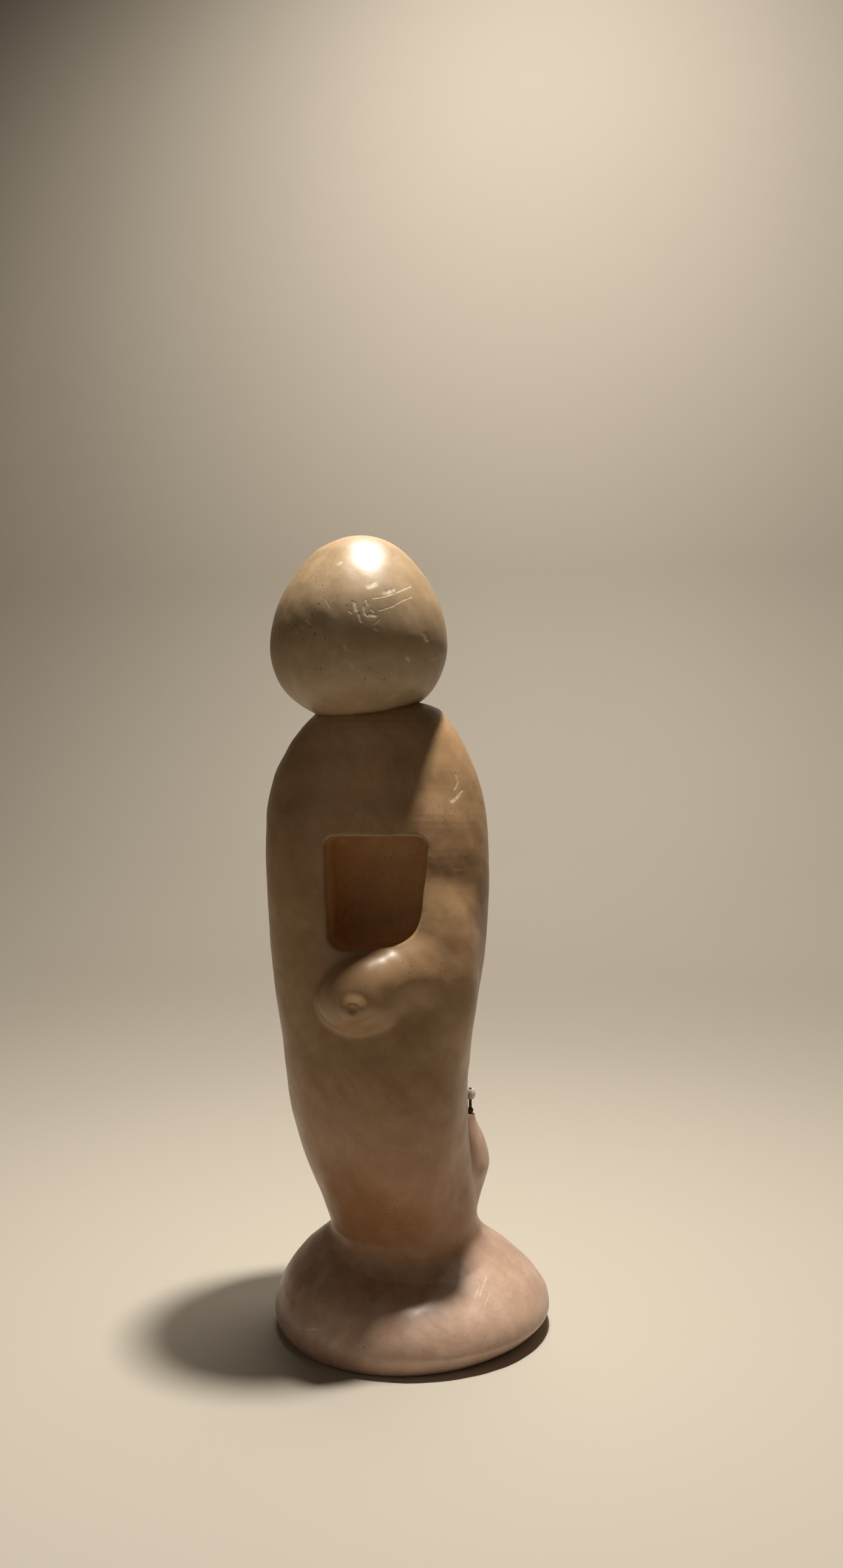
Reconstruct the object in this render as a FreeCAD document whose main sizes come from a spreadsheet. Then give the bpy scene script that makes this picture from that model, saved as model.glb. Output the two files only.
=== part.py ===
import FreeCAD, Part
import Sketcher
import os

# A carved soapstone figure that stands on its own foot: a plain egg for a head, a robe whose
# arms come round a recess to clasped hands, a bulge low on the back, and a clear bead on
# a short dark cord at the bulge's tip.
# Millimetres. +Z is up, the figure faces -Y, its own left arm is on +X, and the origin is the
# centre of the foot's flat underside.
#
# The stone is one carved block. Its solids meet face to face along the lines of the carving,
# so that each region is a simple solid and none of them closes over the recess.

# ---------------------------------------------------------------- driving dimensions

# A ring is one level cross-section of the carving.
RING_FIELDS = ("height", "centre_x", "centre_y", "half_width", "half_depth")

ROBE_RINGS = {
    "ankle": (26, -2.5, 0, 21, 19),
    "shin": (37, -4.5, -0.9, 22.5, 21.4),
    "knee": (55, -8.5, -3.6, 24.8, 24.6),
    "thigh": (72, -10, -4.6, 26.3, 26.2),
    "hip": (90, -10.5, -2.8, 29, 27.2),
    "elbow": (107, -10.5, -1.7, 31.5, 27.1),
    "rib": (126, -10.8, -0.5, 33, 27.5),
    "chest": (145, -11.5, 1, 33, 26),
    "shoulder": (158, -12, 2, 30.8, 24),
    "collar": (169, -11.5, 2, 25.5, 21),
    "nape": (176, -11, 1.5, 20.5, 18),
    "neck": (181, -11.5, 0, 14, 12.5),
}

FOOT_RINGS = {
    "sole": (0, 0, 0, 36.5, 35.5),
    "welt": (1.5, 0, 0, 38.6, 37.4),
    "rim": (5, 0, 0, 40, 38.5),
    "brim": (10, 0, 0, 39, 37.5),
    "slope": (16, -1, 0, 34.9, 34),
    "instep": (21, -1.9, 0, 29.8, 28.6),
    "crease": (26, -2.5, 0, 22.5, 20.5),
}

BULGE_RINGS = {
    "bulge_root": (20, -1.5, 8, 17.5, 14),
    "bulge_under": (29, -1, 12.5, 18.6, 16),
    "bulge_girth": (41.5, 0, 16, 21, 17),
    "bulge_slope": (49, 5, 17, 14, 12),
    "bulge_peak": (53.5, 10.5, 17, 6, 5.5),
    "bulge_tip": (55.7, 13.5, 16.5, 2.8, 2.6),
}

SINGLE_DIMENSIONS = {
    # where the upper body parts from the lower robe, and a height above every ring
    "waist_height": 88,
    "above_neck": 190,
    "beyond_side": 60,
    # the egg of the head: place of its girth, radius there, and reach above and below it
    "head_x": -15.5,
    "head_y": -6,
    "head_height": 196.8,
    "head_radius": 26,
    "head_crown": 31.8,
    "head_chin": 23,
    # the recess between the arms: its sides are the planes where the arms part from the torso,
    # and its tool runs a little past them and out of the figure's front
    "recess_right": -22,
    "recess_left": 7,
    "recess_floor": 109.5,
    "recess_roof": 140.5,
    "recess_back": -5,
    "recess_reach": 42,
    "recess_overrun": 1,
    "roof_round": 3,
    "right_floor_round": 5,
    "left_floor_round": 9,
    "back_round": 4,
    # the left hand: a lobe that runs down to the right and ends in a small nub
    "lobe_x": -2.3,
    "lobe_y": -25.5,
    "lobe_height": 101.5,
    "lobe_radius": 7.3,
    "lobe_half_length": 15,
    "nub_x": -10,
    "nub_y": -35,
    "nub_height": 96,
    "nub_radius": 3.8,
    # the right hand, cupped below and behind the left one
    "palm_x": -11,
    "palm_y": -26,
    "palm_height": 96.5,
    "palm_half_width": 12.5,
    "palm_half_depth": 10,
    "palm_half_height": 10.5,
    # the cord stands in a hole in the bulge's tip, with a knot above the stone
    "cord_x": 15,
    "cord_y": 16.5,
    "cord_radius": 0.45,
    "cord_depth": 4,
    "knot_radius": 0.95,
    "knot_lift": 0.85,
    "bead_lift": 4.4,
    "bead_length": 2.9,
    "bead_radius": 1.6,
    "bead_crown": 2.1,
    "cord_end": 0.3,
}

LOBE_DIRECTION = FreeCAD.Vector(-14.5, -8, -6)

# How far two volumes that should agree may differ, and the most of the recess's volume that
# its tool takes beyond the arms' planes.
VOLUME_SLACK = 0.01
OVERRUN_SHARE = 0.1

NODE_NAMES = (
    "head", "torso", "right_arm", "left_arm", "right_hand", "left_hand",
    "lower_robe", "rear_bulge", "foot", "bead_cord", "clear_bead",
)


def fill_sheet(doc):
    """One row for each driving dimension, its name in A and its value in B."""
    rows = dict(SINGLE_DIMENSIONS)
    for rings in (ROBE_RINGS, FOOT_RINGS, BULGE_RINGS):
        for ring_name, values in rings.items():
            for field, value in zip(RING_FIELDS, values):
                rows[f"{ring_name}_{field}"] = value
    sheet = doc.addObject("Spreadsheet::Sheet", "Dims")
    for number, (alias, value) in enumerate(rows.items(), start=1):
        sheet.set(f"A{number}", alias)
        sheet.set(f"B{number}", str(value))
        sheet.setAlias(f"B{number}", alias)
    doc.recompute()
    return sheet


# ---------------------------------------------------------------- shared makers

def bind(item, **sizes):
    """Bind each named property to an expression."""
    for name, expression in sizes.items():
        item.setExpression(name, expression)


def put_at(item, x, y, z):
    """Bind an object's place to three expressions."""
    item.setExpression("Placement.Base.x", x)
    item.setExpression("Placement.Base.y", y)
    item.setExpression("Placement.Base.z", z)


def ellipsoid(doc, name, place, half_width, half_depth, half_height):
    """A solid ellipsoid. place is the common start of three cells: _x, _y and _height."""
    solid = doc.addObject("Part::Ellipsoid", name)
    bind(solid, Radius1=half_height, Radius2=half_width, Radius3=half_depth)
    put_at(solid, f"Dims.{place}_x", f"Dims.{place}_y", f"Dims.{place}_height")
    return solid


def loft(doc, name, rings):
    """A closed solid through level ellipses, one for each ring."""
    sections = []
    for ring_name in rings:
        cell = f"Dims.{ring_name}"
        ring = doc.addObject("Part::Ellipse", f"{ring_name}_ring")
        bind(ring, MajorRadius=f"{cell}_half_width", MinorRadius=f"{cell}_half_depth")
        put_at(ring, f"{cell}_centre_x", f"{cell}_centre_y", f"{cell}_height")
        sections.append(ring)
    solid = doc.addObject("Part::Loft", name)
    solid.Sections = sections
    solid.Solid = True
    return solid


def slab(doc, name, x_range, z_range):
    """A block through the figure's whole depth, between two pairs of expressions."""
    box = doc.addObject("Part::Box", name)
    low_x, high_x = x_range
    low_z, high_z = z_range
    bind(box, Length=f"{high_x} - ({low_x})", Height=f"{high_z} - {low_z}")
    bind(box, Width="2 * Dims.beyond_side")
    put_at(box, low_x, "-Dims.beyond_side", low_z)
    return box


def cut(doc, name, base, tool):
    """What is left of base when tool is taken away."""
    result = doc.addObject("Part::Cut", name)
    result.Base = base
    result.Tool = tool
    return result


def common(doc, name, base, tool):
    """The space that base and tool share."""
    result = doc.addObject("Part::Common", name)
    result.Base = base
    result.Tool = tool
    return result


def fuse(doc, name, pieces):
    """One solid from pieces that overlap or share a face."""
    result = doc.addObject("Part::MultiFuse", name)
    result.Shapes = pieces
    return result


# ---------------------------------------------------------------- head

def build_head(doc):
    """An egg, widest below its middle: two half ellipsoids that share their girth."""
    halves = []
    for name, reach, low, high in (
        ("head_upper", "Dims.head_crown", 0, 90),
        ("head_lower", "Dims.head_chin", -90, 0),
    ):
        half = ellipsoid(doc, name, "head", "Dims.head_radius", "Dims.head_radius", reach)
        half.Angle1 = low
        half.Angle2 = high
        halves.append(half)
    return fuse(doc, "head", halves)


# ---------------------------------------------------------------- recess

def origin_plane(body, role):
    """One of a body's own origin planes."""
    return next(plane for plane in body.Origin.OriginFeatures if plane.Role == role)


def sketch_recess(body):
    """The mouth's outline: two upright sides, a floor and a roof, measured from the axes."""
    sketch = body.newObject("Sketcher::SketchObject", "recess_outline")
    sketch.AttachmentSupport = [(origin_plane(body, "XZ_Plane"), "")]
    sketch.MapMode = "FlatFace"
    sketch.setExpression("AttachmentOffset.Base.z", "-Dims.recess_back")
    right, left, floor, roof = (
        SINGLE_DIMENSIONS[name]
        for name in ("recess_right", "recess_left", "recess_floor", "recess_roof")
    )
    corners = [
        FreeCAD.Vector(right, floor, 0),
        FreeCAD.Vector(left, floor, 0),
        FreeCAD.Vector(left, roof, 0),
        FreeCAD.Vector(right, roof, 0),
    ]
    for index, corner in enumerate(corners):
        sketch.addGeometry(Part.LineSegment(corner, corners[(index + 1) % 4]), False)
    for index in range(4):
        sketch.addConstraint(Sketcher.Constraint("Coincident", index, 2, (index + 1) % 4, 1))
    for index, direction in enumerate(("Horizontal", "Vertical") * 2):
        sketch.addConstraint(Sketcher.Constraint(direction, index))
    for kind, line, side, value, expression in (
        ("DistanceX", 3, "right_side", right, "Dims.recess_right - Dims.recess_overrun"),
        ("DistanceX", 1, "left_side", left, "Dims.recess_left + Dims.recess_overrun"),
        ("DistanceY", 0, "floor", floor, "Dims.recess_floor"),
        ("DistanceY", 2, "roof", roof, "Dims.recess_roof"),
    ):
        number = sketch.addConstraint(Sketcher.Constraint(kind, -1, 1, line, 1, value))
        sketch.renameConstraint(number, side)
        sketch.setExpression(f"Constraints.{side}", expression)
    return sketch


def round_edges(doc, body, base, name, radius, wanted):
    """Fillet the edges of the base feature whose middle point is wanted."""
    edges = []
    for number, edge in enumerate(base.Shape.Edges, start=1):
        if wanted(edge.valueAt((edge.FirstParameter + edge.LastParameter) / 2)):
            edges.append(f"Edge{number}")
    fillet = body.newObject("PartDesign::Fillet", name)
    fillet.Base = (base, edges)
    fillet.setExpression("Radius", f"Dims.{radius}")
    doc.recompute()
    return fillet


def build_recess(doc, sheet):
    """The space between the arms, with soft corners. It runs out past the figure's front."""
    body = doc.addObject("PartDesign::Body", "recess_space")
    sketch = sketch_recess(body)
    pad = body.newObject("PartDesign::Pad", "recess_depth")
    pad.Profile = sketch
    pad.setExpression("Length", "Dims.recess_reach")
    doc.recompute()
    middle_x = (sheet.recess_left + sheet.recess_right) / 2
    middle_z = (sheet.recess_floor + sheet.recess_roof) / 2
    near = 0.01

    def along_depth(point):
        depth_middle = sheet.recess_back - sheet.recess_reach / 2
        return abs(point.y - depth_middle) < near

    step = round_edges(
        doc, body, pad, "roof_corners", "roof_round",
        lambda p: along_depth(p) and p.z > middle_z,
    )
    step = round_edges(
        doc, body, step, "right_floor_corner", "right_floor_round",
        lambda p: along_depth(p) and p.z < middle_z and p.x < middle_x,
    )
    step = round_edges(
        doc, body, step, "left_floor_corner", "left_floor_round",
        lambda p: along_depth(p) and p.z < middle_z and p.x > middle_x,
    )
    round_edges(
        doc, body, step, "back_edge", "back_round",
        lambda p: abs(p.y - sheet.recess_back) < near,
    )
    return body


# ---------------------------------------------------------------- body of the figure

def build_upper_body(doc, robe, recess, head):
    """The torso between the arms, and the two arms at its sides."""
    heights = ("Dims.waist_height", "Dims.above_neck")
    spans = {
        "right_arm": ("-Dims.beyond_side", "Dims.recess_right"),
        "torso": ("Dims.recess_right", "Dims.recess_left"),
        "left_arm": ("Dims.recess_left", "Dims.beyond_side"),
    }
    under_head = cut(doc, "robe_under_head", robe, head)
    hollowed = cut(doc, "robe_hollowed", under_head, recess)
    for name, span in spans.items():
        block = slab(doc, f"{name}_slab", span, heights)
        common(doc, name, hollowed if name == "torso" else under_head, block)


def build_hands(doc, robe):
    """The left hand lies in the right one. Both stop at the robe's surface."""
    lobe = ellipsoid(
        doc, "left_lobe", "lobe", "Dims.lobe_radius", "Dims.lobe_radius", "Dims.lobe_half_length"
    )
    lobe.Placement.Rotation = FreeCAD.Rotation(FreeCAD.Vector(0, 0, 1), LOBE_DIRECTION)
    nub = ellipsoid(doc, "left_nub", "nub", *["Dims.nub_radius"] * 3)
    left_whole = fuse(doc, "left_hand_whole", [lobe, nub])
    cut(doc, "left_hand", left_whole, robe)
    palm = ellipsoid(
        doc, "right_palm", "palm",
        "Dims.palm_half_width", "Dims.palm_half_depth", "Dims.palm_half_height",
    )
    right_clear = cut(doc, "right_palm_clear", palm, left_whole)
    cut(doc, "right_hand", right_clear, robe)


def build_lower_body(doc, robe, cord_hole):
    """The robe below the waist, the foot, and the bulge behind them."""
    block = slab(
        doc, "lower_robe_slab",
        ("-Dims.beyond_side", "Dims.beyond_side"),
        ("Dims.ankle_height", "Dims.waist_height"),
    )
    common(doc, "lower_robe", robe, block)
    foot = loft(doc, "foot", FOOT_RINGS)
    bulge = loft(doc, "bulge_whole", BULGE_RINGS)
    behind_robe = cut(doc, "bulge_behind_robe", bulge, robe)
    above_foot = cut(doc, "bulge_above_foot", behind_robe, foot)
    cut(doc, "rear_bulge", above_foot, cord_hole)


# ---------------------------------------------------------------- bead and cord

def upright_cylinder(doc, name, radius, low, length):
    """A cylinder on the cord's own line."""
    rod = doc.addObject("Part::Cylinder", name)
    bind(rod, Radius=radius, Height=length)
    put_at(rod, "Dims.cord_x", "Dims.cord_y", low)
    return rod


def build_cord(doc):
    """A stiff stub of cord from inside the stone, through its knot, to the bead's far side."""
    rod = upright_cylinder(
        doc, "cord_rod", "Dims.cord_radius",
        "Dims.bulge_tip_height - Dims.cord_depth",
        "Dims.cord_depth + Dims.bead_lift + Dims.bead_length + Dims.cord_end",
    )
    knot = doc.addObject("Part::Sphere", "cord_knot")
    bind(knot, Radius="Dims.knot_radius")
    put_at(knot, "Dims.cord_x", "Dims.cord_y", "Dims.bulge_tip_height + Dims.knot_lift")
    fuse(doc, "bead_cord", [rod, knot])


def build_bead(doc):
    """A barrel-shaped bead: an ellipsoid with flat ends, and a hole the size of the cord."""
    low = "Dims.bulge_tip_height + Dims.bead_lift"
    ball = doc.addObject("Part::Ellipsoid", "bead_ball")
    bind(ball, Radius1="Dims.bead_crown", Radius2="Dims.bead_radius", Radius3="Dims.bead_radius")
    put_at(ball, "Dims.cord_x", "Dims.cord_y", f"{low} + Dims.bead_length / 2")
    ends = upright_cylinder(doc, "bead_ends", "2 * Dims.bead_radius", low, "Dims.bead_length")
    barrel = common(doc, "bead_barrel", ball, ends)
    hole = upright_cylinder(doc, "bead_hole", "Dims.cord_radius", low, "Dims.bead_length")
    cut(doc, "clear_bead", barrel, hole)


# ---------------------------------------------------------------- whole figure

def check(doc):
    """Stop on any failed feature, and on any node that isn't one valid solid."""
    for item in doc.Objects:
        if "Invalid" in item.State or "Error" in item.State:
            raise RuntimeError(f"{item.Name} failed: {item.State}")
    for name in NODE_NAMES:
        shape = doc.getObject(name).Shape
        if shape.isNull() or not shape.isValid() or len(shape.Solids) != 1:
            raise RuntimeError(f"{name} isn't one valid solid")


def check_recess(doc):
    """The recess must come out of the robe, and splitting the robe must lose no stone."""
    whole, hollowed, space = (
        doc.getObject(name).Shape
        for name in ("robe_under_head", "robe_hollowed", "recess_space")
    )
    taken = whole.common(space).Volume
    if taken <= 0 or abs(whole.Volume - hollowed.Volume - taken) > VOLUME_SLACK * taken:
        raise RuntimeError("the recess didn't come out of the robe")
    slices = ("torso", "right_arm", "left_arm", "lower_robe")
    gained = sum(doc.getObject(name).Shape.Volume for name in slices) - hollowed.Volume
    if not 0 <= gained <= OVERRUN_SHARE * taken:
        raise RuntimeError(f"splitting the robe changed its volume by {gained:.0f} mm3")


def main():
    doc = FreeCAD.newDocument("carved_figure")
    sheet = fill_sheet(doc)
    head = build_head(doc)
    robe = loft(doc, "robe_whole", ROBE_RINGS)
    recess = build_recess(doc, sheet)
    build_upper_body(doc, robe, recess, head)
    build_hands(doc, robe)
    cord_hole = upright_cylinder(
        doc, "cord_hole", "Dims.cord_radius",
        "Dims.bulge_tip_height - Dims.cord_depth", "2 * Dims.cord_depth",
    )
    build_lower_body(doc, robe, cord_hole)
    build_cord(doc)
    build_bead(doc)
    doc.recompute()
    check(doc)
    check_recess(doc)

    os.makedirs("parts", exist_ok=True)
    for name in NODE_NAMES:
        node = doc.getObject(name)
        node.Label = name
        box = node.Shape.optimalBoundingBox()
        node.Shape.exportStep(f"parts/{name}.step")
        print(
            f"{name}: {node.Shape.Volume:.1f} mm3, x {box.XMin:.1f} to {box.XMax:.1f},"
            f" y {box.YMin:.1f} to {box.YMax:.1f}, z {box.ZMin:.1f} to {box.ZMax:.1f}"
        )


main()
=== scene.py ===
"""Looks of a carved soapstone figure: an egg head, a robed body with folded hands and a spreading foot."""

import math

import bmesh
import bpy
import numpy as np
import openvdb
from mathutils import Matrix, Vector


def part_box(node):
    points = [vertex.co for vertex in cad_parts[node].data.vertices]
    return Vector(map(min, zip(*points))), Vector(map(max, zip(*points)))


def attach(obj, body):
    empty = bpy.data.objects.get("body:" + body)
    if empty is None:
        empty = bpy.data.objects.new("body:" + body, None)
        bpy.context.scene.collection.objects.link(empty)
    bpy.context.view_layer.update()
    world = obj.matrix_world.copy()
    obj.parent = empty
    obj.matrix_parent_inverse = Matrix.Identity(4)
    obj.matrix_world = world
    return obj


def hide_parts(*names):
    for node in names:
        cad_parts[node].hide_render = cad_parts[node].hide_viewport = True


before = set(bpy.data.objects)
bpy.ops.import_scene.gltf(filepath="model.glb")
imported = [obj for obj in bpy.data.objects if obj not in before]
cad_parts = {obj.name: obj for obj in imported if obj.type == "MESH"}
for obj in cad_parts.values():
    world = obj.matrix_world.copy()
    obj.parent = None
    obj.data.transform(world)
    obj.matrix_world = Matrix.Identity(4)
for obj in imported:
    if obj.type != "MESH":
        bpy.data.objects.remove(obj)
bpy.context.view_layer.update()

# Every length below is in millimetres until a mesh is made, and every mesh is in metres.
METRES = 0.001
ROOT = "root"

HEAD_VOXEL = 0.5
BODY_VOXEL = 0.65
EMPTY_MARGIN = 4.0
COARSE = 4
SNAP_STEPS = 3
PROBE = 0.02
TINY = 1e-9
LEAST_SLOPE = 0.05

# The robe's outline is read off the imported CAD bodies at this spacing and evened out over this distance.
SLICE_STEP = 2.0
SLICE_SPREAD = 3.0
ROBE_FOOT_DEPTH = 14.0
ROBE_TOP_EDGE = 2.0
WAIST_NODES = ("torso", "right_arm", "left_arm")

# Head: shares of its height, and how far each band is drawn in or let out from a plain egg.
HEAD_GIRTH_SHARE = 0.42
HEAD_BANDS = ((-1.0, 1.0), (-0.62, 1.035), (-0.39, 1.01), (0.0, 1.0), (0.3, 0.985), (0.56, 0.958),
              (0.64, 0.945), (0.73, 0.925), (0.89, 0.965), (1.0, 1.0))
HEAD_LEAN = math.radians(1.0)

# Recess between the arms: the corner rounds of its mouth and the softened edge.
RECESS_SIDE = (-22.0, 7.0)
RECESS_RISE = (109.5, 140.5)
RECESS_BACK = -5.0
RECESS_ROUNDS = {"roof_right": 3.0, "roof_left": 3.5, "floor_right": 4.5, "floor_left": 10.0}
RECESS_TAPER = 0.07
RECESS_INNER_ROUND = 6.5
RECESS_EDGE = 0.9

CHEST_TROUGH = {"centre": (-7.5, -31.0, 146.0), "half": (15.0, 6.5, 36.0), "edge": 9.0}

# Hands, and the fuller robe front and forearm beside them.
PALM = {"centre": (-10.4, -26.4, 96.2), "half": (12.4, 10.0, 9.8)}
LOBE = {"centre": (-7.6, -27.2, 101.2), "half": (12.2, 7.8, 7.4), "along": (-14.0, -4.5, -3.4)}
WRIST = {"centre": (3.0, -24.6, 102.8), "half": (7.0, 5.4, 6.0), "along": (-6.0, -3.0, -7.0)}
NUB = {"centre": (-10.8, -35.3, 95.2), "half": (3.6, 2.4, 3.6)}
DIMPLE = {"centre": (-10.9, -38.6, 95.3), "half": (1.5, 1.5, 1.5)}
BELLY = {"centre": (0.0, -17.5, 73.0), "half": (13.0, 12.0, 33.0)}
FOREARM = {"centre": (10.5, -17.0, 101.0), "half": (8.5, 8.0, 20.0)}
HAND_BLENDS = {"palm": 1.6, "lobe": 2.6, "wrist": 6.0, "nub": 1.0, "dimple": 0.7}
FRONT_BLENDS = {"belly": 11.0, "forearm": 9.0}

# Foot: the mound goes on rising inside the robe, and its edge turns under unevenly.
FOOT_CORE = ((30.0, 14.0, 12.5), (33.5, 3.0, 2.5))
FOOT_BLEND = 3.2
FOOT_STEP = 0.2
FOOT_SPREAD = 1.8
INSTEP_DROP = 4.5
INSTEP_FRONT = 22.0
INSTEP_REACH = (38.0, 24.0)
FOOT_UNDERCUTS = ((-37.0, 38.0, -4.2), (17.0, 20.0, 1.0), (190.0, 40.0, 0.8), (-95.0, 30.0, 0.6))
UNDERCUT_HEIGHT = 5.5
SOLE_EDGE = 0.7
EVEN_SOLE = 8.0
FOOT_SWELLS = ((-25.0, 30.0, -0.7), (60.0, 35.0, -0.6), (140.0, 35.0, 0.5), (235.0, 30.0, 0.4))

# Bulge against the back of the robe: height, centre across and back, half width, half depth.
BULGE_RINGS = ((20.0, -1.5, 8.0, 17.5, 14.0), (29.0, -1.0, 12.5, 18.6, 16.0), (41.5, 0.0, 16.0, 21.0, 17.0),
               (49.0, 5.0, 17.0, 14.0, 12.0), (53.5, 10.5, 17.0, 6.0, 5.5), (55.7, 13.5, 16.5, 2.8, 2.6))
BULGE_BLEND = 3.0
BULGE_STEP = 0.7
BULGE_SPREAD = 1.6

# Slow hand-worked unevenness of the surface: wave length and height.
UNEVENNESS = ((31.0, 0.28), (17.0, 0.14), (8.5, 0.05))

SEAM_HEIGHT = 26.0

# Chips and scratches on the front: points across and up, half width, depth and paleness.
FRONT_BEARING = math.radians(8.0)
HEAD_MARKS = (
    (((-12.2, 209.2), (-10.6, 210.0)), 0.62, 0.14, 1.0),
    (((-7.9, 207.6), (-5.6, 208.6)), 0.50, 0.14, 1.0),
    (((-11.0, 205.7), (-7.9, 206.5), (-5.0, 207.8), (-0.9, 210.4)), 0.17, 0.07, 0.9),
    (((-9.3, 202.4), (-5.9, 203.7), (-3.2, 205.7), (-0.6, 207.2)), 0.17, 0.07, 0.8),
    (((-16.0, 204.2), (-15.5, 202.3)), 0.42, 0.13, 0.9),
    (((-14.8, 201.2), (-14.2, 199.2)), 0.34, 0.12, 0.8),
    (((-13.5, 203.4), (-13.2, 201.3), (-12.4, 200.6)), 0.26, 0.11, 0.8),
    (((-12.9, 205.1), (-12.4, 203.9)), 0.26, 0.11, 0.7),
    (((-11.9, 201.0), (-10.4, 200.9)), 0.42, 0.13, 0.9),
    (((-11.5, 202.5), (-10.7, 201.8)), 0.24, 0.09, 0.6),
    (((-10.6, 198.5), (-9.2, 199.9)), 0.16, 0.06, 0.5),
    (((-10.4, 197.3), (-10.0, 197.1)), 0.34, 0.11, 0.7),
    (((-17.4, 202.0), (-16.9, 201.5)), 0.24, 0.08, 0.4),
    (((-23.9, 205.3), (-22.9, 203.2)), 0.13, 0.04, 0.5),
    (((-29.6, 200.3), (-28.3, 198.7)), 0.14, 0.04, 0.6),
    (((-33.2, 201.8), (-32.4, 199.4), (-30.8, 197.9), (-28.0, 197.1), (-25.0, 196.4)), 0.12, 0.03, 0.3),
    (((-21.0, 216.3), (-20.0, 216.9)), 0.24, 0.07, 0.6),
    (((3.3, 197.0), (3.7, 195.7)), 0.55, 0.28, 0.55),
    (((4.0, 196.6), (4.2, 196.1)), 0.30, 0.39, 0.0),
    (((-1.8, 189.6), (-1.3, 189.2)), 0.50, 0.25, 0.6),
    (((4.6, 190.2), (6.4, 191.0), (9.2, 193.2)), 0.11, 0.03, 0.4),
    (((-18.9, 192.4), (-18.2, 191.2), (-16.8, 190.6)), 0.34, 0.09, 0.25),
    (((-17.4, 188.0), (-16.6, 186.6)), 0.34, 0.08, 0.2),
)
BODY_MARKS = (
    (((10.9, 150.7), (12.6, 152.2)), 0.5, 0.2, 0.75),
    (((12.6, 152.4), (13.7, 153.6)), 0.28, 0.16, 0.6),
    (((11.6, 154.0), (12.6, 156.4), (12.0, 158.4)), 0.30, 0.14, 0.35),
    (((11.6, 131.5), (13.5, 131.4)), 0.18, 0.08, 0.35),
    (((-28.9, 8.0), (-27.4, 8.6), (-25.6, 9.2)), 0.26, 0.14, 0.6),
    (((16.6, 16.2), (17.8, 17.4)), 0.2, 0.08, 0.3),
    (((18.0, 16.4), (20.0, 18.6)), 0.24, 0.08, 0.35),
    (((19.0, 14.6), (20.6, 16.0)), 0.15, 0.06, 0.2),
    (((-10.4, 1.6), (-9.2, 2.2), (-7.6, 1.4)), 0.9, 0.6, 0.15),
)
MARK_CUT = 0.45
MARK_PALE = 0.8
MARK_SHARPNESS = 4
MARK_REFINE = 1.1
FOOT_TONE_REACH = 4.0
RECESS_TONE_REACH = 3.0
CAP_CORNERS = 40
MARK_CUTS = 3


def smooth_min(a, b, reach):
    share = np.clip(0.5 + 0.5 * (b - a) / reach, 0.0, 1.0)
    return b + (a - b) * share - reach * share * (1.0 - share)


def smooth_max(a, b, reach):
    return -smooth_min(-a, -b, reach)


def ellipsoid(p, centre, half):
    q = (p - np.array(centre)) / np.array(half)
    near = np.linalg.norm(q, axis=1)
    slope = np.linalg.norm(q / np.array(half), axis=1)
    return near * (near - 1.0) / np.maximum(slope, TINY)


def long_ellipsoid(p, centre, half, along):
    """An ellipsoid whose first half size runs along a direction and whose third stays nearest to upright."""
    first = np.array(along) / np.linalg.norm(along)
    second = np.cross((0.0, 0.0, 1.0), first)
    second /= np.linalg.norm(second)
    turn = np.stack((first, second, np.cross(first, second)))
    return ellipsoid((p - np.array(centre)) @ turn.T, (0.0, 0.0, 0.0), half)


def edge_points(name):
    """The two ends of every edge of a CAD node's mesh."""
    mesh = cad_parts[name].data
    spots = np.empty(len(mesh.vertices) * 3, np.float32)
    ends = np.empty(len(mesh.edges) * 2, np.int32)
    mesh.vertices.foreach_get("co", spots)
    mesh.edges.foreach_get("vertices", ends)
    spots = spots.reshape(-1, 3).astype(float) / METRES
    ends = ends.reshape(-1, 2)
    return spots[ends[:, 0]], spots[ends[:, 1]]


def outline(edges, height):
    """The points where a CAD body's edges cross a height."""
    found = []
    for low, high in edges:
        crossing = (low[:, 2] - height) * (high[:, 2] - height) < 0
        a, b = low[crossing], high[crossing]
        share = (height - a[:, 2]) / (b[:, 2] - a[:, 2])
        found.append(a + (b - a) * share[:, None])
    return np.concatenate(found)


def oval(points, deep_side):
    """Centre and half sizes of the oval through an outline, with its depth taken from one side."""
    left, right = points[points[:, 0].argmin()], points[points[:, 0].argmax()]
    centre_x, half_x = (left[0] + right[0]) / 2, (right[0] - left[0]) / 2
    centre_y = (left[1] + right[1]) / 2
    half_y = abs((points[:, 1].max() if deep_side > 0 else points[:, 1].min()) - centre_y)
    return centre_x, centre_y, half_x, half_y


def evened(table, spread):
    """A table of rows, height first, evened out along its height."""
    step = table[1, 0] - table[0, 0]
    reach = int(3 * spread / step)
    weights = np.exp(-0.5 * (np.arange(-reach, reach + 1) * step / spread) ** 2)
    weights /= weights.sum()
    smooth = table.copy()
    for column in range(1, table.shape[1]):
        ends = np.pad(table[:, column], reach, mode="reflect", reflect_type="odd")
        smooth[:, column] = np.convolve(ends, weights, mode="valid")
    return smooth


def closer(table, step):
    """The same table of rows, height first, with its rows this far apart."""
    heights = np.arange(table[0, 0], table[-1, 0] + step / 2, step)
    columns = [np.interp(heights, table[:, 0], values) for values in table[:, 1:].T]
    return np.column_stack([heights, *columns])


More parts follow.
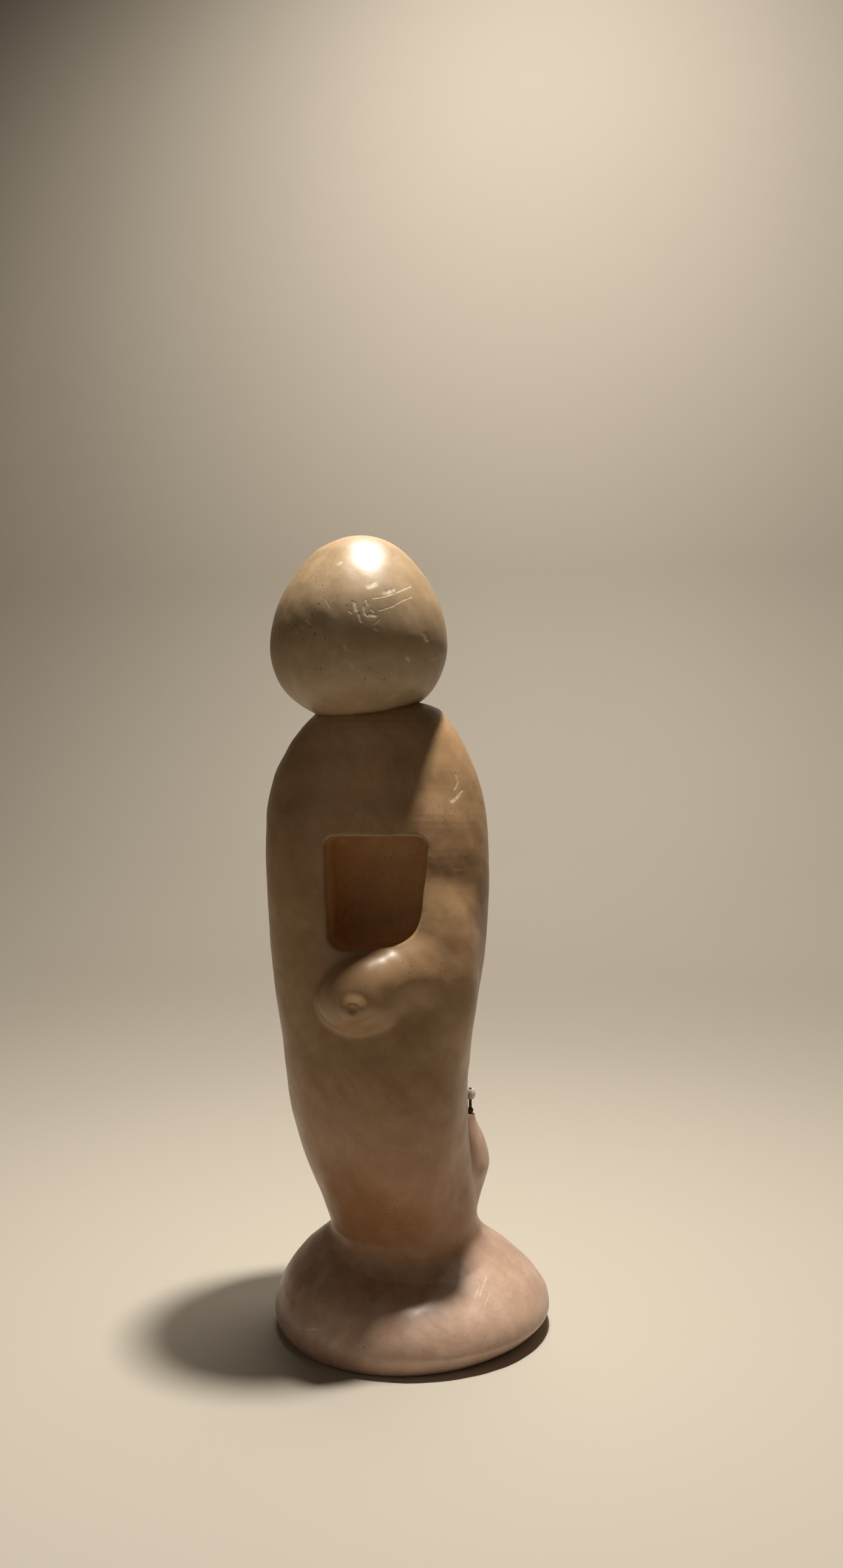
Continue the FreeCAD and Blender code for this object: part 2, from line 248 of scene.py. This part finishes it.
def read_robe():
    low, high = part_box("lower_robe")[0].z / METRES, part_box("torso")[1].z / METRES
    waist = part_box("torso")[0].z / METRES
    skirt = [edge_points("lower_robe")]
    upper = [edge_points(name) for name in WAIST_NODES]
    rows = []
    for height in np.arange(low + SLICE_STEP / 2, high, SLICE_STEP):
        edges, side = (skirt, -1) if height < waist else (upper, 1)
        rows.append((height, *oval(outline(edges, height), side)))
    table = evened(np.array(rows), SLICE_SPREAD)
    root = table[0].copy()
    root[0] = low - ROBE_FOOT_DEPTH
    return np.vstack((root, table))


def read_foot():
    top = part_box("foot")[1].z / METRES
    edges = [edge_points("foot")]
    heights = np.arange(0.4, top - 0.3, 0.8)
    rows = [(height, *oval(outline(edges, height), -1)) for height in heights]
    table = evened(closer(np.array(rows), FOOT_STEP), FOOT_SPREAD)
    last = table[-1]
    core = [(height, last[1], last[2], half_x, half_y) for height, half_x, half_y in FOOT_CORE]
    return np.vstack((table, core))


def column(p, table, swell=0.0):
    """Distance to a body whose level sections are ovals, given as rows of height, centre and half sizes."""
    level = p[:, 2]
    centre_x, centre_y, half_x, half_y = (np.interp(level, table[:, 0], table[:, i]) for i in range(1, 5))
    half_x, half_y = half_x + swell, half_y + swell
    across, deep = (p[:, 0] - centre_x) / half_x, (p[:, 1] - centre_y) / half_y
    near = np.hypot(across, deep)
    distance = near * (near - 1.0) / np.maximum(np.hypot(across / half_x, deep / half_y), TINY)
    lean = np.interp(level, table[:, 0], np.gradient((table[:, 3] + table[:, 4]) / 2, table[:, 0]))
    return distance / np.sqrt(1.0 + lean**2)


def around(p, centre, bumps):
    """A sum of soft bumps at bearings round an upright axis: bearing and width in degrees, and height."""
    bearing = np.degrees(np.arctan2(p[:, 1] - centre[1], p[:, 0] - centre[0]))
    total = np.zeros(len(p))
    for middle, width, height in bumps:
        away = (bearing - middle + 180.0) % 360.0 - 180.0
        total += height * np.exp(-0.5 * (away / width) ** 2)
    return total


def unevenness(p):
    total = np.zeros(len(p))
    for length, height in UNEVENNESS:
        q = p * (2.0 * math.pi / length)
        total += height * np.sin(q[:, 0] + 1.3 * np.sin(0.7 * q[:, 2] + 0.4)) * np.sin(
            0.8 * q[:, 1] + 0.9 * np.sin(0.6 * q[:, 0] + 1.1)) * np.sin(0.55 * q[:, 2] + 0.5 * q[:, 0] + 2.0)
    return total


def marks_on(p, marks, middle):
    """How deep the marks cut at each point, and how pale they leave it, on the side that faces the front."""
    across = p[:, 0] * math.cos(FRONT_BEARING) + p[:, 1] * math.sin(FRONT_BEARING)
    ahead = (p[:, 0] - middle[0]) * math.sin(FRONT_BEARING) - (p[:, 1] - middle[1]) * math.cos(FRONT_BEARING)
    place = np.stack((across, p[:, 2]), axis=1)
    depth, pale, nearest = np.zeros(len(p)), np.zeros(len(p)), np.full(len(p), np.inf)
    for points, width, cut, paleness in marks:
        away = np.full(len(p), np.inf)
        for start, end in zip(points, points[1:], strict=False):
            start, along = np.array(start), np.subtract(end, start)
            share = np.clip((place - start) @ along / (along @ along), 0.0, 1.0)
            away = np.minimum(away, np.hypot(*(place - start - share[:, None] * along).T))
        shape = 1.0 / (1.0 + (away / width) ** MARK_SHARPNESS)
        depth = np.maximum(depth, MARK_CUT * cut * shape)
        pale = np.maximum(pale, MARK_PALE * paleness * shape)
        nearest = np.minimum(nearest, away - width)
    facing = ahead > 0.0
    return depth * facing, pale * facing, np.where(facing, nearest, np.inf)


def head_field(p):
    low, high = (np.array(corner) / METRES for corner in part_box("head"))
    middle, half = (low + high) / 2, (high - low) / 2
    girth = low[2] + HEAD_GIRTH_SHARE * (high[2] - low[2])
    q = p - np.array((middle[0], middle[1], girth))
    q[:, 0] -= math.tan(HEAD_LEAN) * q[:, 2]
    rise = np.where(q[:, 2] > 0, high[2] - girth, girth - low[2])
    share = np.clip(q[:, 2] / rise, -1.0, 1.0)
    bands = np.array(HEAD_BANDS)
    fine = np.linspace(-1.0, 1.0, 401)
    weights = np.exp(-0.5 * (np.arange(-40, 41) / 14.0) ** 2)
    soft = np.convolve(np.pad(np.interp(fine, bands[:, 0], bands[:, 1]), 40, mode="edge"),
                       weights / weights.sum(), mode="valid")
    draw = np.interp(share, fine, soft)
    sides = np.stack((half[0] * draw, half[1] * draw, rise), axis=1)
    near = np.linalg.norm(q / sides, axis=1)
    slope = np.linalg.norm(q / sides**2, axis=1)
    cut = marks_on(p, HEAD_MARKS, middle)[0]
    return near * (near - 1.0) / np.maximum(slope, TINY) + 0.5 * unevenness(p + 40.0) + cut


def recess_field(p):
    """Distance to the hollow: a mouth with four different corner rounds, and a rounded back."""
    middle_x, half_x = sum(RECESS_SIDE) / 2, (RECESS_SIDE[1] - RECESS_SIDE[0]) / 2
    middle_z, half_z = sum(RECESS_RISE) / 2, (RECESS_RISE[1] - RECESS_RISE[0]) / 2
    x, z = p[:, 0] - middle_x, p[:, 2] - middle_z
    half_x = half_x - RECESS_TAPER * np.clip(half_z - z, 0.0, 2.0 * half_z)
    roof = np.where(x < 0, RECESS_ROUNDS["roof_right"], RECESS_ROUNDS["roof_left"])
    floor = np.where(x < 0, RECESS_ROUNDS["floor_right"], RECESS_ROUNDS["floor_left"])
    corner = np.where(z > 0, roof, floor)
    out_x, out_z = np.abs(x) - half_x + corner, np.abs(z) - half_z + corner
    mouth = np.hypot(np.maximum(out_x, 0), np.maximum(out_z, 0)) + np.minimum(np.maximum(out_x, out_z), 0)
    mouth, back = mouth - corner + RECESS_INNER_ROUND, p[:, 1] - RECESS_BACK + RECESS_INNER_ROUND
    return (np.hypot(np.maximum(mouth, 0), np.maximum(back, 0)) + np.minimum(np.maximum(mouth, back), 0)
            - RECESS_INNER_ROUND)


def robe_field(p):
    robe = smooth_max(column(p, ROBE), p[:, 2] - ROBE[-1, 0], ROBE_TOP_EDGE)
    return smooth_max(robe, -ellipsoid(p, CHEST_TROUGH["centre"], CHEST_TROUGH["half"]), CHEST_TROUGH["edge"])


def with_hands(figure, p):
    figure = smooth_min(figure, ellipsoid(p, **PALM), HAND_BLENDS["palm"])
    figure = smooth_min(figure, long_ellipsoid(p, **WRIST), HAND_BLENDS["wrist"])
    figure = smooth_min(figure, long_ellipsoid(p, **LOBE), HAND_BLENDS["lobe"])
    figure = smooth_min(figure, ellipsoid(p, **NUB), HAND_BLENDS["nub"])
    return smooth_max(figure, -ellipsoid(p, **DIMPLE), HAND_BLENDS["dimple"])


def bulge_field(p):
    return np.maximum(column(p, BULGE), p[:, 2] - BULGE[-1, 0])


def foot_field(p):
    """The mound, lower at its front, with an edge that turns under unevenly."""
    turned = np.clip(1.0 - p[:, 2] / UNDERCUT_HEIGHT, 0.0, 1.0) ** 1.5
    swell = around(p, (0.0, 0.0), FOOT_SWELLS) + turned * around(p, (0.0, 0.0), FOOT_UNDERCUTS)
    outer, inner = INSTEP_REACH
    forward = np.clip(-p[:, 1] / INSTEP_FRONT, 0.0, 1.0)
    inward = np.clip((outer - np.hypot(p[:, 0], p[:, 1])) / (outer - inner), 0.0, 1.0)
    q = p.copy()
    q[:, 2] += INSTEP_DROP * forward * forward * (3.0 - 2.0 * forward) * inward
    return column(q, FOOT, swell)


def body_field(p):
    figure = smooth_min(robe_field(p), ellipsoid(p, **BELLY), FRONT_BLENDS["belly"])
    figure = smooth_min(figure, ellipsoid(p, **FOREARM), FRONT_BLENDS["forearm"])
    figure = with_hands(smooth_max(figure, -recess_field(p), RECESS_EDGE), p)
    figure = smooth_min(figure, bulge_field(p), BULGE_BLEND)
    figure = smooth_min(figure, foot_field(p), FOOT_BLEND)
    figure = figure + unevenness(p) * np.clip(p[:, 2] / EVEN_SOLE, 0.0, 1.0)
    figure = figure + marks_on(p, BODY_MARKS, (0.0, 0.0))[0]
    return smooth_max(figure, -p[:, 2], SOLE_EDGE)


def slopes(field, points):
    """The field's value and its gradient at each point."""
    value = field(points)
    gradient = np.empty_like(points)
    for axis in range(3):
        step = np.zeros(3)
        step[axis] = PROBE
        gradient[:, axis] = (field(points + step) - field(points - step)) / (2 * PROBE)
    return value, gradient


def sample(field, low, spacing, places):
    """The field's value at places counted in steps from a corner."""
    places = np.asarray(places)
    points = low + spacing * places.reshape(3, -1).T
    return field(points).reshape(places.shape[1:])


def mesh_of(field, low, high, voxel):
    """Points and four-sided faces of a field's surface, each point moved onto the surface itself."""
    low, high = np.array(low) - EMPTY_MARGIN, np.array(high) + EMPTY_MARGIN
    counts = np.ceil((high - low) / voxel).astype(int) + 1
    counts = COARSE * np.ceil(counts / COARSE).astype(int)
    reach = 3.0 * voxel
    coarse = sample(field, low + voxel * (COARSE - 1) / 2, voxel * COARSE, np.indices(counts // COARSE))
    values = np.clip(coarse, -reach, reach).repeat(COARSE, 0).repeat(COARSE, 1).repeat(COARSE, 2)
    near = np.abs(coarse) < reach + voxel * COARSE
    near = np.nonzero(near.repeat(COARSE, 0).repeat(COARSE, 1).repeat(COARSE, 2))
    values[near] = np.clip(sample(field, low, voxel, near), -reach, reach)
    grid = openvdb.FloatGrid(reach)
    grid.copyFromArray(values.astype(np.float32))
    spots, quads = grid.convertToQuads(0.0)
    spots = spots.astype(float) * voxel + low
    for _ in range(SNAP_STEPS):
        value, gradient = slopes(field, spots)
        spots -= gradient * (value / np.maximum((gradient**2).sum(1), LEAST_SLOPE))[:, None]
    return spots, quads


def refine_marks(mesh, field, marks, middle):
    """Splits the faces near the marks finely, and moves their new points onto the carved surface."""
    form = bmesh.new()
    form.from_mesh(mesh)
    spots = np.array([tuple(v.co) for v in form.verts]) / METRES
    close = marks_on(spots, marks, middle)[2] < MARK_REFINE
    edges = [e for e in form.edges if close[e.verts[0].index] and close[e.verts[1].index]]
    bmesh.ops.subdivide_edges(form, edges=edges, cuts=MARK_CUTS, use_grid_fill=True)
    spots = np.array([tuple(v.co) for v in form.verts]) / METRES
    moving = marks_on(spots, marks, middle)[2] < 2 * MARK_REFINE
    moved = spots[moving]
    for _ in range(SNAP_STEPS):
        value, gradient = slopes(field, moved)
        moved -= gradient * (value / np.maximum((gradient**2).sum(1), LEAST_SLOPE))[:, None]
    form.verts.ensure_lookup_table()
    for vertex, spot in zip(np.nonzero(moving)[0], moved * METRES, strict=True):
        form.verts[int(vertex)].co = spot
    form.to_mesh(mesh)
    form.free()


def spots_of(mesh):
    spots = np.empty(len(mesh.vertices) * 3, np.float32)
    mesh.vertices.foreach_get("co", spots)
    return spots.reshape(-1, 3).astype(float) / METRES


def keep(mesh, name, values):
    """A value at each point of a mesh, kept there for its material."""
    layer = mesh.attributes.new(name, "FLOAT", "POINT")
    layer.data.foreach_set("value", np.clip(values, 0.0, 1.0).astype(np.float32))


def keep_body_shares(mesh):
    """Where the body is foot or bulge, where it is the recess's wall, painted lighter as bounce light, and
    where marks leave it pale.
    """
    spots = spots_of(mesh)
    robe, low_stone = robe_field(spots), np.minimum(foot_field(spots), bulge_field(spots))
    keep(mesh, "foot_share", 0.5 + (robe - low_stone) / FOOT_TONE_REACH)
    # The recess wall's share carries painted bounce light: lighter, redder tones there.
    inside = np.clip(-robe / RECESS_TONE_REACH - 0.3, 0.0, 1.0)
    keep(mesh, "recess_share", inside * (recess_field(spots) > -1.0) * (spots[:, 2] > RECESS_RISE[0] - 2.0))
    keep(mesh, "marks", marks_on(spots, BODY_MARKS, (0.0, 0.0))[1])


def outward(field, spots):
    gradient = slopes(field, spots)[1]
    return gradient / np.maximum(np.linalg.norm(gradient, axis=1), TINY)[:, None]


def new_mesh(name, spots, faces):
    mesh = bpy.data.meshes.new(name)
    mesh.from_pydata((spots * METRES).tolist(), [], [tuple(int(v) for v in face) for face in faces])
    mesh.validate()
    mesh.update()
    return mesh


def facing_out(mesh):
    """Turns the faces of a closed mesh outward."""
    form = bmesh.new()
    form.from_mesh(mesh)
    if form.calc_volume(signed=True) < 0:
        bmesh.ops.reverse_faces(form, faces=form.faces)
    form.to_mesh(mesh)
    form.free()


def add_piece(name, mesh, material):
    made = bpy.data.objects.new(name, mesh)
    bpy.context.scene.collection.objects.link(made)
    mesh.materials.append(material)
    for face in mesh.polygons:
        face.use_smooth = True
    return made


def part_at_seam(mesh, name, keep_above):
    """A closed copy of one side of the body at the ankle seam."""
    form = bmesh.new()
    form.from_mesh(mesh)
    seam = Vector((0.0, 0.0, SEAM_HEIGHT * METRES))
    side = Vector((0.0, 0.0, -1.0 if keep_above else 1.0))
    everything = form.verts[:] + form.edges[:] + form.faces[:]
    cut = bmesh.ops.bisect_plane(form, geom=everything, plane_co=seam, plane_no=side, clear_outer=True)
    rim = [item for item in cut["geom_cut"] if isinstance(item, bmesh.types.BMEdge)]
    bmesh.ops.contextual_create(form, geom=rim)
    half = bpy.data.meshes.new(name)
    form.to_mesh(half)
    form.free()
    return half


def shade_from_field(mesh, field):
    """Normals from the carved surface itself, so that the two sides of the seam shade as one."""
    normals = outward(field, spots_of(mesh))
    corners = np.empty(len(mesh.loops), np.int32)
    mesh.loops.foreach_get("vertex_index", corners)
    given = normals[corners]
    for face in mesh.polygons:
        if len(face.vertices) > CAP_CORNERS:
            given[face.loop_start:face.loop_start + face.loop_total] = tuple(face.normal)
    mesh.normals_split_custom_set(given.tolist())


# ---------------------------------------------------------------- materials


def tone(red, green, blue):
    """A linear colour from its display values, 0 to 255."""
    def linear(value):
        share = value / 255.0
        return share / 12.92 if share <= 0.04045 else ((share + 0.055) / 1.055) ** 2.4

    return (linear(red), linear(green), linear(blue), 1.0)


class Paint:
    """A material's node tree, with short ways to add the nodes that these materials use."""

    def __init__(self, name):
        self.material = bpy.data.materials.new(name)
        self.material.use_nodes = True
        self.tree = self.material.node_tree
        self.shader = self.tree.nodes["Principled BSDF"]
        self.place = self.add("ShaderNodeTexCoord").outputs["Object"]

    def add(self, kind, inputs=(), **settings):
        node = self.tree.nodes.new(kind)
        for key, value in settings.items():
            setattr(node, key, value)
        for key, value in dict(inputs).items():
            self.give(node.inputs[key], value)
        return node

    def give(self, socket, value):
        if isinstance(value, bpy.types.NodeSocket):
            self.tree.links.new(value, socket)
        else:
            socket.default_value = value

    def noise(self, size, detail=3.0, rough=0.5, distortion=0.0, place=None):
        """Noise whose blotches are about this many millimetres across."""
        return self.add("ShaderNodeTexNoise", {
            "Vector": place or self.place, "Scale": 1.0 / (size * METRES), "Detail": detail,
            "Roughness": rough, "Distortion": distortion}).outputs["Fac"]

    def cells(self, size, feature="F1"):
        node = self.add("ShaderNodeTexVoronoi", {"Vector": self.place, "Scale": 1.0 / (size * METRES)},
                        feature=feature)
        return node.outputs["Distance"]

    def span(self, value, low, high, start=0.0, end=1.0):
        return self.add("ShaderNodeMapRange", {
            "Value": value, "From Min": low, "From Max": high,
            "To Min": start, "To Max": end}).outputs["Result"]

    def math(self, operation, a, b=0.0, c=0.0):
        node = self.add("ShaderNodeMath", operation=operation)
        for socket, value in zip(node.inputs, (a, b, c), strict=True):
            self.give(socket, value)
        return node.outputs["Value"]

    def mix(self, share, a, b, blend="MIX"):
        node = self.add("ShaderNodeMix", data_type="RGBA", blend_type=blend)
        for index, value in ((0, share), (6, a), (7, b)):
            self.give(node.inputs[index], value)
        return node.outputs[2]

    def bump(self, height, strength, distance, normal=None):
        inputs = {"Height": height, "Strength": strength, "Distance": distance * METRES}
        if normal is not None:
            inputs["Normal"] = normal
        return self.add("ShaderNodeBump", inputs).outputs["Normal"]


HEAD_TONES = {"low": tone(150, 125, 93), "mid": tone(168, 142, 109), "pale": tone(186, 161, 128)}
ROBE_TONES = {"low": tone(150, 117, 82), "mid": tone(165, 131, 95), "pale": tone(180, 147, 111)}
# Lower robe tones, warmer and more orange below the hands: painted warm bounce light from underneath.
SKIRT_PAINTED_BOUNCE_TONES = {"low": tone(150, 106, 68), "mid": tone(162, 118, 80), "pale": tone(176, 134, 96)}
FOOT_TONES = {"low": tone(166, 133, 114), "mid": tone(189, 157, 136), "pale": tone(208, 181, 160)}
# Recess wall tones, lighter and redder than the chest: painted bounce light inside the hollow.
RECESS_PAINTED_BOUNCE_TONES = {"low": tone(192, 146, 96), "mid": tone(206, 160, 108), "pale": tone(218, 176, 126)}
# Tone changes on the body: painted warm bounce light low on the robe, painted bounce light on the recess
# wall, and the foot's pinker tones on the foot and bulge.
BODY_TONE_CHANGES = (("height", 88.0, 48.0, SKIRT_PAINTED_BOUNCE_TONES), ("recess_share", 0.0, 1.0, RECESS_PAINTED_BOUNCE_TONES),
                     ("foot_share", 0.0, 1.0, FOOT_TONES))
SPECK_TONE = tone(58, 40, 26)
CHIP_TONE = tone(238, 224, 204)


def mottled(paint, tones):
    """Clouded stone: slow drifts between three tones, and a finer grain inside them."""
    slow = paint.noise(30.0, 3.0, 0.5, 0.4)
    fine = paint.noise(5.0, 4.0, 0.55)
    base = paint.mix(paint.span(slow, 0.34, 0.66), tones["low"], tones["mid"])
    return paint.mix(paint.math("MULTIPLY", paint.span(fine, 0.45, 0.75), 0.5), base, tones["pale"])


def stone(name, tones, changes=(), speckled=0.5):
    """Polished soapstone: other tones where the mesh says so, dark specks, pale flecks and faint veins."""
    paint = Paint(name)
    colour = mottled(paint, tones)
    level = paint.add("ShaderNodeSeparateXYZ", {"Vector": paint.place}).outputs["Z"]
    level = paint.math("MULTIPLY_ADD", paint.noise(12.0), 8.0 * METRES, level)
    dull = None
    # Some of these changes are painted light: warm bounce low on the robe and bounce light on the recess
    # wall.
    for source, low, high, other in changes:
        if source == "height":
            share = paint.span(level, low * METRES, high * METRES)
        else:
            share = paint.add("ShaderNodeAttribute", attribute_name=source).outputs["Fac"]
            share = paint.span(share, low, high)
        colour = paint.mix(share, colour, mottled(paint, other))
        dull = share if source == "recess_share" else dull
    vein_field = paint.noise(38.0, 5.0, 0.6, 1.4)
    vein = paint.span(paint.math("ABSOLUTE", paint.math("SUBTRACT", vein_field, 0.5)), 0.0, 0.03, 0.09, 0.0)
    colour = paint.mix(vein, colour, SPECK_TONE)
    specks = paint.span(paint.cells(1.7), 0.09, 0.2, 1.0, 0.0)
    gate = paint.span(paint.noise(9.0), 0.5, 0.62)
    specks = paint.math("MULTIPLY", specks, gate)
    colour = paint.mix(paint.math("MULTIPLY", specks, speckled), colour, SPECK_TONE)
    flecks = paint.span(paint.noise(0.9, 2.0), 0.70, 0.80)
    colour = paint.mix(paint.math("MULTIPLY", flecks, 0.35), colour, CHIP_TONE)
    marks = paint.add("ShaderNodeAttribute", attribute_name="marks").outputs["Fac"]
    marks = paint.math("MULTIPLY", marks, paint.span(paint.noise(1.1, 3.0), 0.4, 0.6, 0.35, 1.0))
    colour = paint.mix(marks, colour, CHIP_TONE)
    paint.give(paint.shader.inputs["Base Color"], colour)

    wear = paint.noise(9.0, 5.0, 0.6)
    rough = paint.span(wear, 0.3, 0.72, 0.34, 0.50)
    rough = paint.math("MULTIPLY_ADD", marks, 0.3, rough)
    if dull is not None:
        rough = paint.math("MULTIPLY_ADD", dull, 0.25, rough)
    paint.give(paint.shader.inputs["Roughness"], rough)
    paint.give(paint.shader.inputs["IOR"], 1.5)
    paint.give(paint.shader.inputs["Coat Weight"], 0.18)
    paint.give(paint.shader.inputs["Coat Roughness"], 0.3)
    soft = paint.bump(paint.noise(6.0, 4.0, 0.5), 0.30, 0.25)
    grain = paint.bump(paint.noise(0.7, 3.0, 0.6), 0.14, 0.10, soft)
    paint.give(paint.shader.inputs["Normal"], grain)
    return paint.material


def clear_glass(name):
    paint = Paint(name)
    haze = paint.noise(0.8, 3.0)
    paint.give(paint.shader.inputs["Base Color"], paint.mix(haze, tone(226, 222, 206), tone(246, 242, 230)))
    paint.give(paint.shader.inputs["Roughness"], paint.span(haze, 0.3, 0.7, 0.06, 0.16))
    paint.give(paint.shader.inputs["IOR"], 1.5)
    paint.give(paint.shader.inputs["Transmission Weight"], 0.4)
    return paint.material


def dark_thread(name):
    paint = Paint(name)
    fibre = paint.noise(0.25, 4.0, 0.6)
    paint.give(paint.shader.inputs["Base Color"], paint.mix(fibre, tone(34, 24, 18), tone(92, 70, 50)))
    paint.give(paint.shader.inputs["Roughness"], paint.span(fibre, 0.3, 0.7, 0.7, 0.9))
    paint.give(paint.shader.inputs["Normal"], paint.bump(fibre, 0.5, 0.08))
    return paint.material


# ---------------------------------------------------------------- stage


FLOOR_FRONT = -1.2
FLOOR_BACK = 0.75
FLOOR_SIDE = 4.0
BACKDROP_TOP = 4.0
BACKDROP_BEND = 0.5
BEND_STEPS = 24


def pale_floor():
    """A pale floor that curves up into a backdrop of the same paper."""
    paint = Paint("floor_pale")
    paint.give(paint.shader.inputs["Base Color"],
               paint.mix(paint.noise(400.0), tone(176, 168, 155), tone(182, 174, 161)))
    paint.give(paint.shader.inputs["Roughness"], 0.8)
    turns = [math.pi / 2 * step / BEND_STEPS for step in range(BEND_STEPS + 1)]
    bend = [(FLOOR_BACK + BACKDROP_BEND * math.sin(turn), BACKDROP_BEND * (1.0 - math.cos(turn)))
            for turn in turns]
    line = [(FLOOR_FRONT, 0.0), *bend, (FLOOR_BACK + BACKDROP_BEND, BACKDROP_TOP)]
    spots = [(side, y, z) for side in (-FLOOR_SIDE, FLOOR_SIDE) for y, z in line]
    count = len(line)
    faces = [(step, step + count, step + count + 1, step + 1) for step in range(count - 1)]
    mesh = bpy.data.meshes.new("floor")
    mesh.from_pydata(spots, [], faces)
    floor = add_piece("floor", mesh, paint.material)


CAMERA_PLACE = (48.92, -332.12, 144.2)
CAMERA_TURN = (92.0, 0.0, 8.0)
CAMERA_LENS = 26.0

KEY = {"place": (36.0, 4.0, 620.0), "aim": (0.0, 0.0, 90.0), "size": 40.0, "power": 2.5, "spread": 130.0,
       "tint": (1.0, 0.95, 0.87), "shine": 0.3}
WASH = {"place": (0.0, 420.0, 1700.0), "aim": (0.0, 1250.0, 300.0), "size": 700.0,
        "power": 11.0, "spread": 110.0, "tint": (1.0, 0.94, 0.86)}
FILL = {"place": (-500.0, -900.0, 500.0), "aim": (0.0, 0.0, 110.0), "size": 900.0,
        "power": 0.28, "spread": 180.0, "tint": (1.0, 0.88, 0.74)}
WORLD_TINT = (0.95, 0.80, 0.62, 1.0)
WORLD_STRENGTH = 0.06
BACKDROP_TINT = tone(158, 148, 132)


def area_light(name, place, aim, size, power, spread, tint, shine=1.0):
    data = bpy.data.lights.new(name, "AREA")
    data.shape = "DISK"
    data.size = size * METRES
    data.energy = power
    data.spread = math.radians(spread)
    data.color = tint
    data.specular_factor = shine
    lamp = bpy.data.objects.new(name, data)
    bpy.context.scene.collection.objects.link(lamp)
    lamp.location = Vector(place) * METRES
    lamp.rotation_mode = "QUATERNION"
    lamp.rotation_quaternion = (Vector(place) - Vector(aim)).to_track_quat("Z", "Y")


def lights():
    area_light("key", **KEY)
    area_light("wash", **WASH)
    area_light("fill", **FILL)
    world = bpy.data.worlds.new("studio")
    world.use_nodes = True
    tree = world.node_tree
    glow = tree.nodes["Background"]
    glow.inputs["Color"].default_value = WORLD_TINT
    glow.inputs["Strength"].default_value = WORLD_STRENGTH
    seen = tree.nodes.new("ShaderNodeBackground")
    seen.inputs["Color"].default_value = BACKDROP_TINT
    either = tree.nodes.new("ShaderNodeMixShader")
    tree.links.new(tree.nodes.new("ShaderNodeLightPath").outputs["Is Camera Ray"], either.inputs["Fac"])
    tree.links.new(glow.outputs["Background"], either.inputs[1])
    tree.links.new(seen.outputs["Background"], either.inputs[2])
    tree.links.new(either.outputs["Shader"], tree.nodes["World Output"].inputs["Surface"])
    bpy.context.scene.world = world
    bpy.context.scene.view_settings.view_transform = "Standard"


def camera():
    data = bpy.data.cameras.new("camera")
    data.lens = CAMERA_LENS
    data.sensor_width = 36.0
    data.clip_start = 0.01
    made = bpy.data.objects.new("camera", data)
    made.location = Vector(CAMERA_PLACE) * METRES
    made.rotation_euler = [math.radians(angle) for angle in CAMERA_TURN]
    bpy.context.scene.collection.objects.link(made)
    bpy.context.scene.camera = made


# ---------------------------------------------------------------- build


def box_of(*nodes):
    """The corners round several CAD nodes, in millimetres."""
    corners = np.array([[tuple(corner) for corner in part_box(name)] for name in nodes]) / METRES
    return corners[:, 0].min(0), corners[:, 1].max(0)


BODY_NODES = ("torso", "right_arm", "left_arm", "right_hand", "left_hand", "lower_robe", "rear_bulge")
ROBE = read_robe()
FOOT = read_foot()
BULGE = evened(closer(np.array(BULGE_RINGS), BULGE_STEP), BULGE_SPREAD)


def build_head():
    spots, quads = mesh_of(head_field, *box_of("head"), HEAD_VOXEL)
    mesh = new_mesh("head_carving", spots, quads)
    facing_out(mesh)
    low, high = box_of("head")
    refine_marks(mesh, head_field, HEAD_MARKS, (low + high) / 2)
    keep(mesh, "marks", marks_on(spots_of(mesh), HEAD_MARKS, (low + high) / 2)[1])
    head = add_piece("head_carving", mesh, stone("head_soapstone", HEAD_TONES, speckled=0.85))
    shade_from_field(mesh, head_field)
    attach(head, ROOT)
    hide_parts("head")


def build_body():
    spots, quads = mesh_of(body_field, *box_of(*BODY_NODES, "foot"), BODY_VOXEL)
    whole = new_mesh("body", spots, quads)
    facing_out(whole)
    refine_marks(whole, body_field, BODY_MARKS, (0.0, 0.0))
    body_stone = stone("body_soapstone", ROBE_TONES, BODY_TONE_CHANGES)
    robe = add_piece("robe_carving", part_at_seam(whole, "robe_carving", True), body_stone)
    foot = add_piece("foot_carving", part_at_seam(whole, "foot_carving", False), body_stone)
    for piece in (robe, foot):
        keep_body_shares(piece.data)
        shade_from_field(piece.data, body_field)
        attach(piece, ROOT)
    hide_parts(*BODY_NODES)
    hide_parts("foot")


build_head()
build_body()
for name, make in (("bead_cord", dark_thread), ("clear_bead", clear_glass)):
    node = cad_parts[name]
    node.data.materials.clear()
    node.data.materials.append(make(name + "_look"))

pale_floor()
lights()
camera()


def corners(box):
    return [list(corner) for corner in box]
